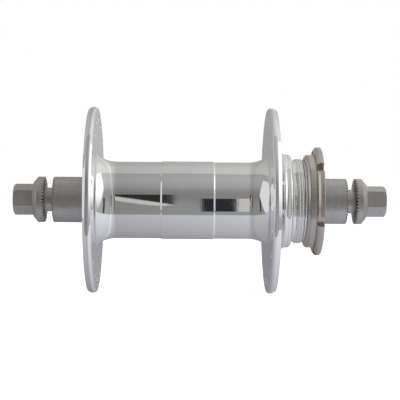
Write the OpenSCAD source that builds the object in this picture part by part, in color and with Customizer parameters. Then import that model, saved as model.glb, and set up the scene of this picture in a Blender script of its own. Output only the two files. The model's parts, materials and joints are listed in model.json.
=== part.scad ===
// Track rear hub with bolt-on ends, in millimetres.
// The axle lies along Y, the drive side is -Y, +Z is up and the origin is midway between the dropouts.
// A station is a distance from the origin along the axle, positive towards the drive side.

/* [Fit in the frame] */
// Distance between the two serrated faces that the dropouts rest on
dropout_spacing = 120; // [118:0.5:130]
// Free gap between an end cap and its washer, where the dropout goes
dropout_gap = 3.4; // [2.5:0.1:6]

/* [Shell barrel] */
// Diameter of the barrel between the flanges
barrel_d = 31.4; // [31:0.1:33.5]
// Diameter of the slightly raised middle band
band_d = 31.9; // [31.6:0.1:34.5]
// Station where the middle band starts
band_start = -15.7; // [-20:0.1:-8]
// Width of the middle band
band_w = 21.3; // [10:0.1:26]
// Diameter of the hollow inside the barrel
hollow_d = 26; // [20:0.5:27]

/* [Flanges] */
// Diameter of both flanges
flange_d = 76; // [72:0.5:90]
// Thickness of a flange at its rim
flange_t = 3.3; // [2.8:0.1:4.5]
// Station of the left flange's outer face
left_flange_at = -45.3; // [-46:0.1:-42]
// Station of the right flange's outer face
right_flange_at = 30.8; // [29:0.1:31.5]
// How much thicker the right flange is at its root
flange_dish = 1.9; // [0.5:0.1:2.2]
// Rounding of the flange rims
rim_round = 1; // [0.5:0.1:1.3]
// Radius of the large sweep from the barrel into a flange
sweep_r = 13.8; // [11:0.1:18]
// Length of that sweep along the barrel
sweep_run = 7.9; // [6:0.1:10]
// Small radius where the sweep meets the flange
sweep_root_r = 1.2; // [0.6:0.1:2]

/* [Spoke holes] */
// Spoke holes in each flange
spokes_per_flange = 18; // [12, 14, 16, 18, 20]
// Diameter of the circle that the spoke holes lie on
spoke_circle_d = 67; // [60:0.5:68]
// Diameter of a spoke hole
spoke_hole_d = 2.6; // [2.3:0.1:3]
// Depth of the countersink at both ends of a spoke hole
spoke_sink = 0.35; // [0.1:0.05:0.6]
// Angle of the first hole in the left flange, seen along the axle
spoke_turn = 9; // [0:1:20]

/* [Cog and lockring threads] */
// Diameter of the shoulder that the cog rests on
shoulder_d = 38.3; // [37:0.1:40]
// Station of the shoulder's face
shoulder_at = 37; // [36:0.1:38]
// Rounding of the shoulder's edge
shoulder_round = 1; // [0.4:0.1:1.4]
// Radius of the hollow corner between flange and shoulder
shoulder_fillet = 2.3; // [1:0.1:3]
// Outside diameter of the cog thread
cog_thread_d = 34.8; // [34.4:0.05:35]
// Length of the cog thread
cog_thread_len = 3.7; // [3:0.1:4.4]
// Length of the plain groove between the shoulder and the cog thread
relief_len = 1.1; // [0.4:0.1:1.1]
// Outside diameter of the lockring thread
lockring_thread_d = 32.77; // [32.5:0.05:33]
// Distance from one turn of these threads to the next
thread_pitch = 1.058; // [0.8:0.001:1.3]

/* [Lockring] */
// Station of the lockring's inner face
lockring_at = 42.6; // [42.5:0.1:44]
// Diameter of the lockring's body
lockring_body_d = 38.2; // [37:0.1:40]
// Length of the lockring's body
lockring_body_len = 3.5; // [2.5:0.1:4]
// Diameter of the lockring's flange
lockring_flange_d = 44.4; // [42:0.1:48]
// Thickness of the lockring's flange
lockring_flange_t = 3.1; // [2.5:0.1:3.6]
// Number of spanner notches
notch_count = 6; // [4:1:8]
// Width of a spanner notch
notch_w = 4; // [3:0.1:5]
// Depth of a spanner notch
notch_depth = 2.6; // [1.5:0.1:2.8]
// Angle of the first notch
notch_turn = 21.9; // [0:0.1:60]

/* [Bearings] */
// Outside diameter of a bearing
bearing_od = 28; // [26:0.5:28]
// Bore of a bearing
bearing_id = 15; // [12:0.5:15.5]
// Width of a bearing
bearing_w = 7; // [6.5:0.1:8]
// How far a bearing sits inside the end of the shell
bearing_inset = 0.6; // [0.2:0.1:1]
// Diameter of a ball
ball_d = 3.5; // [3:0.1:3.6]
// Balls in a bearing
ball_count = 13; // [9:1:14]
// Thickness of a race at its lands
race_t = 2; // [1.9:0.05:2.1]
// Depth of a ball groove below the race's land
groove_depth = 0.6; // [0.4:0.05:0.7]
// Thickness of a seal
seal_t = 0.7; // [0.4:0.1:0.8]

/* [Axle] */
// Diameter of the axle between the bearings
axle_mid_d = 17; // [16:0.1:18]
// Diameter of the axle inside the end caps
axle_end_d = 14; // [13:0.1:14.2]
// How far the axle's end stays behind the serrated face
axle_setback = 2; // [1.5:0.1:3]

/* [End caps] */
// Diameter of an end cap
cap_d = 18.7; // [17.5:0.1:20]
// Diameter of the cap's nose, which presses on the inner race
cap_nose_d = 17.6; // [17:0.1:18.2]
// Length of the cap's nose
cap_nose_len = 1.2; // [0.8:0.1:2]
// Bevel round the serrated face
cap_bevel = 0.55; // [0.3:0.05:0.8]

/* [Serrations] */
// Teeth on each serrated face
teeth = 42; // [30:1:44]
// Depth of the teeth
tooth_depth = 0.4; // [0.2:0.05:0.5]
// Radius at which the teeth start
tooth_start_r = 6.3; // [6:0.1:7]

/* [Axle bolts] */
// Thread diameter of a bolt, which its smooth neck shares
bolt_d = 9.77; // [9.5:0.01:9.95]
// Distance from one turn of the bolt's thread to the next
bolt_pitch = 1; // [0.75:0.05:1.25]
// Length of a bolt from the washer's serrated face to its tip
bolt_reach = 21.4; // [20:0.1:24]
// Length of the threaded stretch
bolt_thread_len = 14; // [10:0.5:16]
// Size of the hex head across its flats
hex_flats = 11.11; // [10:0.01:11.5]
// Length of the hex head past the washer
hex_len = 8.1; // [6:0.1:10]
// Rounding of the hex head's outer end
hex_round = 1.3; // [0.4:0.1:1.6]
// Turn of the left hex head
left_hex_turn = 24.3; // [0:0.1:60]
// Turn of the right hex head
right_hex_turn = 20; // [0:0.1:60]

/* [Serrated washers] */
// Diameter of a washer
washer_d = 18.7; // [17.5:0.1:20]
// Thickness of a washer
washer_t = 4.7; // [4.4:0.1:6]
// Length of the washer's cone
washer_cone_len = 1.8; // [1.4:0.1:2.2]
// Diameter where the cone ends
washer_cone_d = 14.4; // [14:0.1:15]
// Rounding of the washer's serrated edge
washer_round = 0.8; // [0.3:0.1:0.9]
// Thickness of the washer between its serrations and the bolt's collar
washer_floor = 1.9; // [1.5:0.1:2.2]
// Diameter of the bolt's collar, which the washer is held on
collar_d = 14; // [13.7:0.1:14.2]
// Thickness of the bolt's collar
collar_t = 1.8; // [1.2:0.1:2]

/* [Hidden] */
$fn = 96;

// Gap round a piece that is pressed or screwed home and stays put
seat_gap = 0.02;
// Gap round a piece that turns or slides in another
running_gap = 0.1;
// Gap at the end of a bore, so that a piece stops on its own shoulder
end_gap = 0.3;
// How far the shell's end stays behind the lockring's outer face
shell_setback = 0.4;
// Share of a thread's pitch that its depth takes
thread_depth_share = 0.6;
// Width of a thread's crest, as a share of the pitch
crest_share = 0.125;
// Bevel on the ends of the axle, the bolts' tips and the bearing seats
small_bevel = 0.5;
// Overlap that lets a cutting shape pass its surface cleanly
past = 0.5;

face = dropout_spacing / 2;
left_face_in = left_flange_at + flange_t;
right_face_in = right_flange_at - flange_t;
cog_thread_from = shoulder_at + relief_len;
cog_thread_to = cog_thread_from + cog_thread_len;
lockring_end = lockring_at + lockring_body_len + lockring_flange_t;
shell_end = lockring_end - shell_setback;

// Outer side of each bearing, and its middle
left_bearing_out = left_flange_at + bearing_inset;
left_bearing_mid = left_bearing_out + bearing_w / 2;
right_bearing_out = shell_end - bearing_inset;
right_bearing_mid = right_bearing_out - bearing_w / 2;

seat_d = bearing_od + 2 * seat_gap;
journal_d = bearing_id - 2 * seat_gap;
ball_circle_d = (bearing_od + bearing_id) / 2;
groove_r = ball_d / 2 + running_gap;
outer_land_r = bearing_od / 2 - race_t;
inner_land_r = bearing_id / 2 + race_t;
seal_seat_r = outer_land_r + groove_depth;

axle_end_at = face - axle_setback;
washer_face = face + dropout_gap;
washer_back = washer_face + washer_t;
collar_from = washer_face + washer_floor + running_gap;
collar_to = collar_from + collar_t;
bolt_tip = washer_face - bolt_reach;
bolt_end = washer_back + hex_len;
hex_corners_r = hex_flats / 2 / cos(30);
neck_bore_d = bolt_d + 2 * running_gap;

// Turns a flat half section, drawn as radius across and station up, round the axle
module lathe() {
    rotate([90, 0, 0]) rotate_extrude() children();
}

// Lays a shape that was drawn about Z along the axle, with Z pointing to the drive side
module along_axle() {
    rotate([90, 0, 0]) children();
}

// Mirrors a right-hand end piece to the left end
module left_end() {
    mirror([0, 1, 0]) children();
}

// A straight ring section from one radius and station to another
module ring(r0, s0, r1, s1) {
    translate([r0, s0]) square([r1 - r0, s1 - s0]);
}

// A ring section whose two outer corners are rounded
module round_ring(r0, s0, r1, s1, low_round, high_round) {
    difference() {
        ring(r0, s0, r1, s1);
        if (low_round > 0) corner_waste(r1, s0, low_round, 1);
        if (high_round > 0) corner_waste(r1, s1, high_round, -1);
    }
}

// What a rounded outer corner leaves off: up is 1 where the material lies above the corner
module corner_waste(r, s, round_r, up) {
    difference() {
        translate([r - round_r, up > 0 ? s - past : s - round_r]) square([round_r + past, round_r + past]);
        translate([r - round_r, s + up * round_r]) circle(round_r);
    }
}

// V grooves that leave a thread of the given outside radius between two stations
module thread_waste(r, s0, s1, pitch) {
    depth = pitch * thread_depth_share;
    half_v = pitch * (1 - crest_share) / 2;
    turns = floor((s1 - s0) / pitch);
    first = s0 + (s1 - s0 - turns * pitch) / 2 + pitch / 2;
    slack = 0.1;
    for (i = [0 : turns - 1]) {
        at = first + i * pitch;
        polygon([
            [r - depth, at],
            [r + slack, at + half_v * (1 + slack / depth)],
            [r + slack, at - half_v * (1 + slack / depth)]
        ]);
    }
}

// V grooves in the wall of a bore of the given radius
module bore_thread_waste(r, s0, s1, pitch) {
    depth = pitch * thread_depth_share / 2;
    half_v = pitch * (1 - crest_share) / 2;
    turns = floor((s1 - s0) / pitch);
    slack = 0.1;
    for (i = [0 : turns - 1]) {
        at = s0 + (i + 0.5) * pitch;
        polygon([
            [r + depth, at],
            [r - slack, at + half_v * (1 + slack / depth)],
            [r - slack, at - half_v * (1 + slack / depth)]
        ]);
    }
}

// Section of the sweep from the barrel up to a flange's inner face, drawn with the flange at 0 and the barrel above it
module sweep_section() {
    big = [barrel_d / 2 + sweep_r, sweep_run];
    small_s = sweep_root_r;
    small_r = big[0] - sqrt(pow(sweep_r - sweep_root_r, 2) - pow(big[1] - small_s, 2));
    small = [small_r, small_s];
    way = (small - big) / norm(small - big);
    touch = big + sweep_r * way;
    difference() {
        polygon([
            [barrel_d / 2 - past, -past], [small_r, -past], [small_r, 0], touch,
            [barrel_d / 2, sweep_run], [barrel_d / 2 - past, sweep_run]
        ]);
        translate(big) circle(sweep_r, $fn = 360);
        translate(small) circle(sweep_root_r);
    }
}

// Section of the hollow corner between the right flange and the shoulder
module shoulder_corner() {
    s0 = right_flange_at + flange_dish;
    difference() {
        ring(shoulder_d / 2 - past, s0 - past, shoulder_d / 2 + shoulder_fillet, s0 + shoulder_fillet);
        translate([shoulder_d / 2 + shoulder_fillet, s0 + shoulder_fillet]) circle(shoulder_fillet);
    }
}

// Half section of the whole shell, before the spoke holes
module shell_section() {
    rim = flange_d / 2;
    barrel_from = left_face_in - past;
    barrel_to = right_face_in + past;
    // the flange thickens from inside the spoke holes down to the shoulder's hollow corner
    dish_to = spoke_circle_d / 2 - spoke_hole_d;
    dish_from = shoulder_d / 2 + shoulder_fillet;
    difference() {
        union() {
            ring(hollow_d / 2, barrel_from, barrel_d / 2, barrel_to);
            ring(hollow_d / 2, band_start, band_d / 2, band_start + band_w);
            round_ring(hollow_d / 2, left_flange_at, rim, left_face_in, rim_round, rim_round);
            round_ring(hollow_d / 2, right_face_in, rim, right_flange_at, rim_round, rim_round);
            translate([0, left_face_in]) sweep_section();
            translate([0, right_face_in]) mirror([0, 1, 0]) sweep_section();
            polygon([
                [hollow_d / 2, right_flange_at - past], [dish_to, right_flange_at - past],
                [dish_to, right_flange_at], [dish_from, right_flange_at + flange_dish],
                [hollow_d / 2, right_flange_at + flange_dish]
            ]);
            shoulder_corner();
            round_ring(hollow_d / 2, right_flange_at, shoulder_d / 2, shoulder_at, 0, shoulder_round);
            difference() {
                ring(hollow_d / 2, shoulder_at - past, cog_thread_d / 2, cog_thread_to);
                thread_waste(cog_thread_d / 2, cog_thread_from, cog_thread_to, thread_pitch);
                // the plain groove between the shoulder and the cog thread
                ring(cog_thread_d / 2 - thread_pitch * thread_depth_share, shoulder_at,
                     cog_thread_d / 2 + past, cog_thread_from);
            }
            difference() {
                ring(hollow_d / 2, cog_thread_to - past, lockring_thread_d / 2, shell_end);
                thread_waste(lockring_thread_d / 2, lockring_at, shell_end, thread_pitch);
            }
        }
        // bearing seats with a bevelled mouth
        ring(0, left_flange_at - past, seat_d / 2, left_bearing_out + bearing_w);
        ring(0, right_bearing_out - bearing_w, seat_d / 2, shell_end + past);
        mouth_bevel(left_flange_at, 1);
        mouth_bevel(shell_end, -1);
    }
}

// Bevel round the mouth of a bearing seat
module mouth_bevel(s, inwards) {
    r = seat_d / 2;
    polygon([
        [r - past, s - inwards * past], [r + bearing_inset + past, s - inwards * past],
        [r - past, s + inwards * (bearing_inset + past)]
    ]);
}

// One flange's ring of spoke holes, countersunk on both faces
module spoke_holes(s0, s1, turn) {
    r = spoke_hole_d / 2;
    along_axle()
        for (i = [0 : spokes_per_flange - 1])
            rotate([0, 0, turn + i * 360 / spokes_per_flange]) translate([spoke_circle_d / 2, 0, 0]) {
                translate([0, 0, s0 - past]) cylinder(h = s1 - s0 + 2 * past, r = r, $fn = 32);
                translate([0, 0, s0 - past])
                    cylinder(h = spoke_sink + past, r1 = r + spoke_sink + past, r2 = r, $fn = 32);
                translate([0, 0, s1 - spoke_sink])
                    cylinder(h = spoke_sink + past, r1 = r, r2 = r + spoke_sink + past, $fn = 32);
            }
}

module hub_shell() {
    color("gainsboro")
        difference() {
            lathe() shell_section();
            spoke_holes(left_flange_at, left_face_in, spoke_turn);
            spoke_holes(right_face_in, right_flange_at, spoke_turn + 180 / spokes_per_flange);
        }
}

module lockring() {
    bore_r = lockring_thread_d / 2 + running_gap;
    bore_root_r = bore_r + thread_pitch * thread_depth_share / 2;
    flange_from = lockring_at + lockring_body_len;
    edge = lockring_flange_d / 2;
    body = lockring_body_d / 2;
    nose_bevel = 1.1;
    // the nose's bevel never takes more than half of the wall outside the thread
    nose_bevel_in = min(1.5 * nose_bevel, (body - bore_root_r) / 2);
    flange_bevel = 1;
    back_bevel = 0.3;
    color("rosybrown")
        difference() {
            lathe()
                difference() {
                    union() {
                        polygon([
                            [bore_r, lockring_at], [body - nose_bevel_in, lockring_at],
                            [body, lockring_at + nose_bevel], [body, flange_from + past], [bore_r, flange_from + past]
                        ]);
                        polygon([
                            [bore_r, flange_from], [edge - flange_bevel, flange_from],
                            [edge, flange_from + flange_bevel], [edge, lockring_end - back_bevel],
                            [edge - back_bevel, lockring_end], [bore_r, lockring_end]
                        ]);
                    }
                    bore_thread_waste(bore_r, lockring_at, lockring_end, thread_pitch);
                }
            along_axle()
                for (i = [0 : notch_count - 1])
                    rotate([0, 0, notch_turn + i * 360 / notch_count])
                        translate([edge - notch_depth, -notch_w / 2, flange_from - past / 2])
                            cube([notch_depth + past, notch_w, lockring_flange_t + past]);
        }
}

module axle() {
    bore_r = neck_bore_d / 2;
    end_r = axle_end_d / 2;
    color("silver")
        lathe()
            difference() {
                union() {
                    ring(bore_r, left_bearing_out + bearing_w, axle_mid_d / 2, right_bearing_out - bearing_w);
                    ring(bore_r, left_bearing_out, journal_d / 2, right_bearing_out);
                    polygon([
                        [bore_r, -axle_end_at], [end_r - small_bevel, -axle_end_at],
                        [end_r, -axle_end_at + small_bevel], [end_r, axle_end_at - small_bevel],
                        [end_r - small_bevel, axle_end_at], [bore_r, axle_end_at]
                    ]);
                }
                bore_thread_waste(bore_r, axle_end_at - bolt_thread_len, axle_end_at, bolt_pitch);
                bore_thread_waste(bore_r, -axle_end_at, -axle_end_at + bolt_thread_len, bolt_pitch);
            }
}

// V cuts across a serrated face, which lies at the given station and looks the given way
module tooth_cuts(s, outer_r, looks) {
    half_w = tooth_depth;
    along_axle()
        for (i = [0 : teeth - 1])
            rotate([0, 0, i * 360 / teeth]) translate([tooth_start_r, 0, s])
                rotate([90, 0, 90]) linear_extrude(outer_r - tooth_start_r + past)
                    polygon([[-half_w, 0], [-half_w, looks * past], [half_w, looks * past], [half_w, 0],
                             [0, -looks * tooth_depth]]);
}

// A right-hand end cap whose nose presses on the bearing at the given station
module end_cap(nose_at) {
    thread_bore_r = axle_end_d / 2 + seat_gap;
    nose_r = cap_nose_d / 2;
    edge = cap_d / 2;
    color("darkgray")
        difference() {
            lathe()
                difference() {
                    polygon([
                        [0, nose_at], [nose_r, nose_at], [nose_r, nose_at + cap_nose_len],
                        [edge, nose_at + cap_nose_len], [edge, face - cap_bevel], [edge - cap_bevel, face], [0, face]
                    ]);
                    ring(-past, nose_at - past, thread_bore_r, axle_end_at + end_gap);
                    ring(-past, nose_at, neck_bore_d / 2 + running_gap, face + past);
                }
            tooth_cuts(face, cap_d / 2, 1);
        }
}

module left_end_cap() {
    left_end() end_cap(-left_bearing_out);
}

module right_end_cap() {
    end_cap(right_bearing_out);
}

// A right-hand bolt: hex head, collar, smooth neck and thread
module axle_bolt(hex_turn) {
    neck_r = bolt_d / 2;
    tip_r = neck_r - bolt_pitch * thread_depth_share;
    color("darkgray")
        union() {
            lathe()
                difference() {
                    union() {
                        polygon([
                            [0, bolt_tip], [tip_r, bolt_tip], [neck_r, bolt_tip + small_bevel],
                            [neck_r, collar_from + past], [0, collar_from + past]
                        ]);
                        ring(0, collar_from, collar_d / 2, collar_to);
                    }
                    thread_waste(neck_r, bolt_tip + small_bevel, bolt_tip + bolt_thread_len, bolt_pitch);
                }
            intersection() {
                along_axle()
                    translate([0, 0, collar_to - past]) rotate([0, 0, hex_turn])
                        cylinder(h = bolt_end - collar_to + past, r = hex_corners_r, $fn = 6);
                lathe()
                    round_ring(0, collar_to - 2 * past, hex_corners_r + hex_round / 8, bolt_end, 0, hex_round);
            }
        }
}

module left_axle_bolt() {
    left_end() axle_bolt(left_hex_turn);
}

module right_axle_bolt() {
    axle_bolt(right_hex_turn);
}

// A right-hand washer: serrated face, pocket for the bolt's collar, and a lip that keeps it on
module serrated_washer() {
    edge = washer_d / 2;
    pocket_r = collar_d / 2 + running_gap;
    lip_r = hex_corners_r + 2 * running_gap;
    cone_from = washer_back - washer_cone_len;
    color("darkgray")
        difference() {
            lathe()
                difference() {
                    union() {
                        round_ring(0, washer_face, edge, cone_from, washer_round, 0);
                        polygon([
                            [0, cone_from - past], [edge, cone_from - past], [edge, cone_from],
                            [washer_cone_d / 2, washer_back], [0, washer_back]
                        ]);
                    }
                    ring(-past, washer_face - past, neck_bore_d / 2, washer_back);
                    ring(-past, washer_face + washer_floor, pocket_r, collar_to + running_gap);
                    ring(-past, collar_to, lip_r, washer_back + past);
                }
            tooth_cuts(washer_face, washer_d / 2, -1);
        }
}

module left_serrated_washer() {
    left_end() serrated_washer();
}

module right_serrated_washer() {
    serrated_washer();
}

// Outer race of a bearing, with its middle at the given station
module outer_race(mid) {
    half = bearing_w / 2;
    color("lightsteelblue")
        lathe()
            difference() {
                ring(outer_land_r, mid - half, bearing_od / 2, mid + half);
                translate([ball_circle_d / 2, mid]) circle(groove_r);
                ring(outer_land_r - past, mid - half - past, seal_seat_r, mid - half + seal_t + end_gap);
                ring(outer_land_r - past, mid + half - seal_t - end_gap, seal_seat_r, mid + half + past);
            }
}

module inner_race(mid) {
    half = bearing_w / 2;
    color("lightsteelblue")
        lathe()
            difference() {
                ring(bearing_id / 2, mid - half, inner_land_r, mid + half);
                translate([ball_circle_d / 2, mid]) circle(groove_r);
            }
}

// Places its children at each ball of the bearing
module at_each_ball(mid) {
    along_axle()
        for (i = [0 : ball_count - 1])
            rotate([0, 0, i * 360 / ball_count]) translate([ball_circle_d / 2, 0, mid]) children();
}

module balls(mid) {
    color("white") at_each_ball(mid) sphere(d = ball_d, $fn = 48);
}

// Cage: a thin ring with one round window for each ball
module cage(mid) {
    half_w = ball_d / 2 + 2 * end_gap;
    half_wall = 0.6;
    color("goldenrod")
        difference() {
            lathe() ring(ball_circle_d / 2 - half_wall, mid - half_w, ball_circle_d / 2 + half_wall, mid + half_w);
            at_each_ball(mid)
                rotate([0, 90, 0]) cylinder(h = 4 * half_wall, r = groove_r, center = true, $fn = 48);
        }
}

// A seal set in the outer race, with its lip close to the inner race
module seal(mid, side) {
    outer = mid + side * (bearing_w / 2 - end_gap);
    inner = outer - side * seal_t;
    color("dimgray")
        lathe() ring(inner_land_r + running_gap, min(outer, inner), seal_seat_r - seat_gap, max(outer, inner));
}

module left_outer_race() { outer_race(left_bearing_mid); }
module left_inner_race() { inner_race(left_bearing_mid); }
module left_balls() { balls(left_bearing_mid); }
module left_cage() { cage(left_bearing_mid); }
module left_outer_seal() { seal(left_bearing_mid, -1); }
module left_inner_seal() { seal(left_bearing_mid, 1); }
module right_outer_race() { outer_race(right_bearing_mid); }
module right_inner_race() { inner_race(right_bearing_mid); }
module right_balls() { balls(right_bearing_mid); }
module right_cage() { cage(right_bearing_mid); }
module right_outer_seal() { seal(right_bearing_mid, 1); }
module right_inner_seal() { seal(right_bearing_mid, -1); }

hub_shell();
lockring();
axle();
left_end_cap();
right_end_cap();
left_axle_bolt();
right_axle_bolt();
left_serrated_washer();
right_serrated_washer();
left_outer_race();
left_inner_race();
left_balls();
left_cage();
left_outer_seal();
left_inner_seal();
right_outer_race();
right_inner_race();
right_balls();
right_cage();
right_outer_seal();
right_inner_seal();
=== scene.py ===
"""Track rear hub: its visible pieces, their finishes, and the studio that lights them.

The axle lies along Y with the drive side at -Y. A station is a distance along the axle from the middle
of the hub, positive towards the drive side. A section is a list of (radius, station) pairs.
"""

import json
from math import acos, asin, atan2, ceil, copysign, cos, hypot, pi, radians, remainder, sin, sqrt, tan

import bmesh
import bpy
from bpy.props import FloatProperty, FloatVectorProperty, IntProperty, PointerProperty
from bpy.types import Operator, Panel, PropertyGroup
from mathutils import Matrix, Quaternion, Vector


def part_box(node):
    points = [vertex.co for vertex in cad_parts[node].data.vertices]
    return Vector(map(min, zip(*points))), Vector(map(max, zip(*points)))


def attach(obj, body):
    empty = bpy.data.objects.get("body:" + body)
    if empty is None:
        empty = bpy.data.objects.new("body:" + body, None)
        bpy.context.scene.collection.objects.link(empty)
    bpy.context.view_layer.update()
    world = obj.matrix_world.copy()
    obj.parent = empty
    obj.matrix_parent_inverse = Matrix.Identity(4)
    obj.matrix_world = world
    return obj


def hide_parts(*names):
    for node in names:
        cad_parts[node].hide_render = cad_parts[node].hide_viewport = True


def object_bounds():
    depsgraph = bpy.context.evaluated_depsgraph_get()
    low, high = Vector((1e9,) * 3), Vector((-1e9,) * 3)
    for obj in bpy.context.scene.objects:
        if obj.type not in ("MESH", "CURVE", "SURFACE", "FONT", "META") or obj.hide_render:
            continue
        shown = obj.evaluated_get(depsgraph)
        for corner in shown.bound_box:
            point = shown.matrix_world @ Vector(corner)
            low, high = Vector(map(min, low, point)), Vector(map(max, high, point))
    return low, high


bl_info = {
    "name": "Track rear hub",
    "version": (1, 0, 0),
    "blender": (4, 5, 0),
    "location": "3D View > Sidebar > Track hub",
    "description": "Builds the pieces of a track rear hub round its packed frame, and a studio for them",
    "category": "Add Mesh",
}

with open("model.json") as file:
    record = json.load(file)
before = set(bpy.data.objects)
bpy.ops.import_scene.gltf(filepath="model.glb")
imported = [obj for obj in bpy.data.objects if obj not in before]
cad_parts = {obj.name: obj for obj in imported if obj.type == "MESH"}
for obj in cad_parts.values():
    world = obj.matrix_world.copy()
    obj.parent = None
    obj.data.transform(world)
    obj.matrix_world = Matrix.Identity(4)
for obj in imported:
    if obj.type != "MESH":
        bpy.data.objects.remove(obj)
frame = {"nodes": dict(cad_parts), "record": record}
CAD_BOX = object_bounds()

MM = 0.001
FULL_TURN = 2 * pi
ALONG_AXLE = Vector((0, -1, 0))
SIDES = ("left", "right")
# Half of the angle that one side of a hex takes.
HEX_HALF = radians(30)

# Step of an arc, gap of the loops that hold its ends, gap of vertices that merge, and angle of a sharp edge.
ARC_STEP = radians(7.5)
HOLD = 0.04 * MM
WELD = 0.0005 * MM
CREASE = radians(38)

# Steps round the axle and round a hole. A round piece is spun as one sector, and then copied round.
SECTORS = 12
SHELL_STEPS = 288
THREAD_STEPS = 96
BOLT_STEPS = 192
RING_STEPS = 192
HOLE_STEPS = 48

# Points across one turn of a thread, and how wide its crests are: 1 is a plain wave.
THREAD_POINTS = 12
THREAD_FLATS = 1.6

# Rings of a flange beside its holes, in hole radii from the hole circle, and half a hole's window in steps.
HOLE_RINGS = (-2, -1.7, -1, 0, 1, 1.7, 2)
WINDOW_STEPS = 4

# Slots of a tooth and of a notch's sector, and slots from a notch's middle to its floor's end and its wall.
SLOTS_PER_TOOTH = 4
SLOTS_PER_NOTCH = 32
FLOOR_SLOTS = 3
WALL_SLOT = 4

# Points of a hex head's section on its flats. The others are shares of the way over its rounding.
SIDE_FOOT = -2
SIDE_TOP = -1
# How far the rounding's turned outline stands outside the head's corners, as a share of the rounding.
HEX_MARGIN = 1 / 8


def stations(node):
    """The lowest and highest station of a CAD node."""
    low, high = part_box(node)
    return -high.y, -low.y


def reach(node):
    """The largest radius of a CAD node."""
    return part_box(node)[1].z


def setting(kind, name, default, description, **rest):
    return kind(name=name, description=description, default=default, **rest)


def length(*given):
    """A length property. Its default is given in metres."""
    return setting(FloatProperty, *given, unit="LENGTH", precision=5)


def mm(name, default, description):
    """A length property. Its default is given in millimetres."""
    return length(name, default * MM, description)


def turn(name, degrees, description):
    return setting(FloatProperty, name, radians(degrees), description, unit="ROTATION")


def count(*given):
    return setting(IntProperty, *given, min=1)


def factor(*given):
    return setting(FloatProperty, *given, min=0, max=1, subtype="FACTOR")


def colour(*given):
    return setting(FloatVectorProperty, *given, min=0, max=1, size=3, subtype="COLOR")


class TrackHubShellSizes(PropertyGroup):
    """Sizes of the polished shell"""

    barrel_d: mm("Barrel diameter", 31.4, "Diameter of the barrel between the flanges")
    band_d: mm("Band diameter", 31.9, "Diameter of the raised middle band")
    band_start: mm("Band start", -15.7, "Station where the middle band starts")
    band_w: mm("Band width", 21.3, "Width of the middle band")
    band_slope: mm("Band slope", 0.6, "Length of the slope at each edge of the band")
    hollow_d: mm("Hollow diameter", 26, "Diameter of the hollow inside the barrel")
    flange_d: length("Flange diameter", 2 * reach("hub_shell") - 0.02 * MM, "Diameter of both flanges")
    flange_t: mm("Flange thickness", 3.3, "Thickness of a flange at its rim")
    right_flange_at: mm("Right flange", 30.8, "Station of the right flange's outer face")
    flange_dish: mm("Flange dish", 1.9, "How much thicker the right flange is at its root")
    rim_round: mm("Rim rounding", 1.2, "Rounding of the flange rims")
    rim_drop: mm("Rim slope drop", 0.6, "How far the slope beside a rim drops towards the axle")
    rim_slope: mm("Rim slope", 0.95, "Width of that slope on the left flange")
    right_rim_slope: mm("Right rim slope", 1.5, "Width of the slope on the right flange's outer side")
    right_rim_back: mm("Right rim back slope", 0.6, "Width of the slope on its inner side")
    sweep_r: mm("Sweep radius", 13.8, "Radius of the sweep from the barrel into a flange")
    sweep_run: mm("Sweep length", 7.9, "Length of that sweep along the barrel")
    sweep_root_r: mm("Sweep root radius", 1.2, "Small radius where the sweep meets the flange")
    shoulder_d: mm("Shoulder diameter", 38.3, "Diameter of the shoulder that the cog rests on")
    shoulder_at: mm("Shoulder face", 37, "Station of the shoulder's face")
    shoulder_round: mm("Shoulder rounding", 1.3, "Rounding of the shoulder's edge")
    shoulder_fillet: mm("Shoulder fillet", 2.3, "Radius of the hollow corner under the shoulder")
    holes: count("Spoke holes", 18, "Spoke holes in each flange")
    hole_circle_d: mm("Hole circle", 67, "Diameter of the circle that the spoke holes lie on")
    hole_d: mm("Hole diameter", 2.6, "Diameter of a spoke hole")
    hole_sink: mm("Countersink", 0.35, "Depth of the countersink at both ends of a hole")
    hole_turn: turn("First hole", 9, "Angle of the first hole in the left flange")


class TrackHubThreadSizes(PropertyGroup):
    """Sizes of the threads on the shell and the bolts"""

    cog_d: mm("Cog thread", 34.8, "Outside diameter of the cog thread")
    cog_from: mm("Cog thread start", 38.1, "Station where the cog thread starts")
    cog_to: mm("Cog thread end", 41.8, "Station where the cog thread ends")
    lockring_d: mm("Lockring thread", 32.77, "Outside diameter of the lockring thread")
    pitch: mm("Thread pitch", 1.058, "Distance from one turn of the shell's threads to the next")
    bolt_d: mm("Bolt thread", 9.77, "Outside diameter of a bolt's thread and neck")
    bolt_pitch: mm("Bolt pitch", 1, "Distance from one turn of a bolt's thread to the next")
    bolt_run: mm("Bolt thread length", 14, "Length of a bolt's threaded stretch")
    depth: factor("Thread depth", 0.6, "Share of the pitch that a thread's depth takes")
    lead: mm("Lead-in", 0.1, "Plain stretch before and after a thread")


class TrackHubLockringSizes(PropertyGroup):
    """Sizes of the lockring"""

    body_d: mm("Body diameter", 38.2, "Diameter of the lockring's body")
    body_run: mm("Body length", 3.9, "Length of the lockring's body")
    flange_d: mm("Flange diameter", 44.4, "Diameter of the lockring's flange")
    nose_round: mm("Nose rounding", 1.5, "Rounding of the lockring's inner end")
    flange_bevel: mm("Flange bevel", 0.9, "Bevel on the inner edge of the flange")
    back_bevel: mm("Back bevel", 0.3, "Bevel on the outer edge of the flange")
    notches: count("Notches", 6, "Number of spanner notches")
    notch_w: mm("Notch width", 4, "Width of a spanner notch")
    notch_depth: mm("Notch depth", 2.6, "Depth of a spanner notch")
    notch_turn: turn("First notch", 21.9, "Angle of the first notch")
    play: mm("Thread play", 0.1, "Radial gap between the lockring and its thread")


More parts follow.
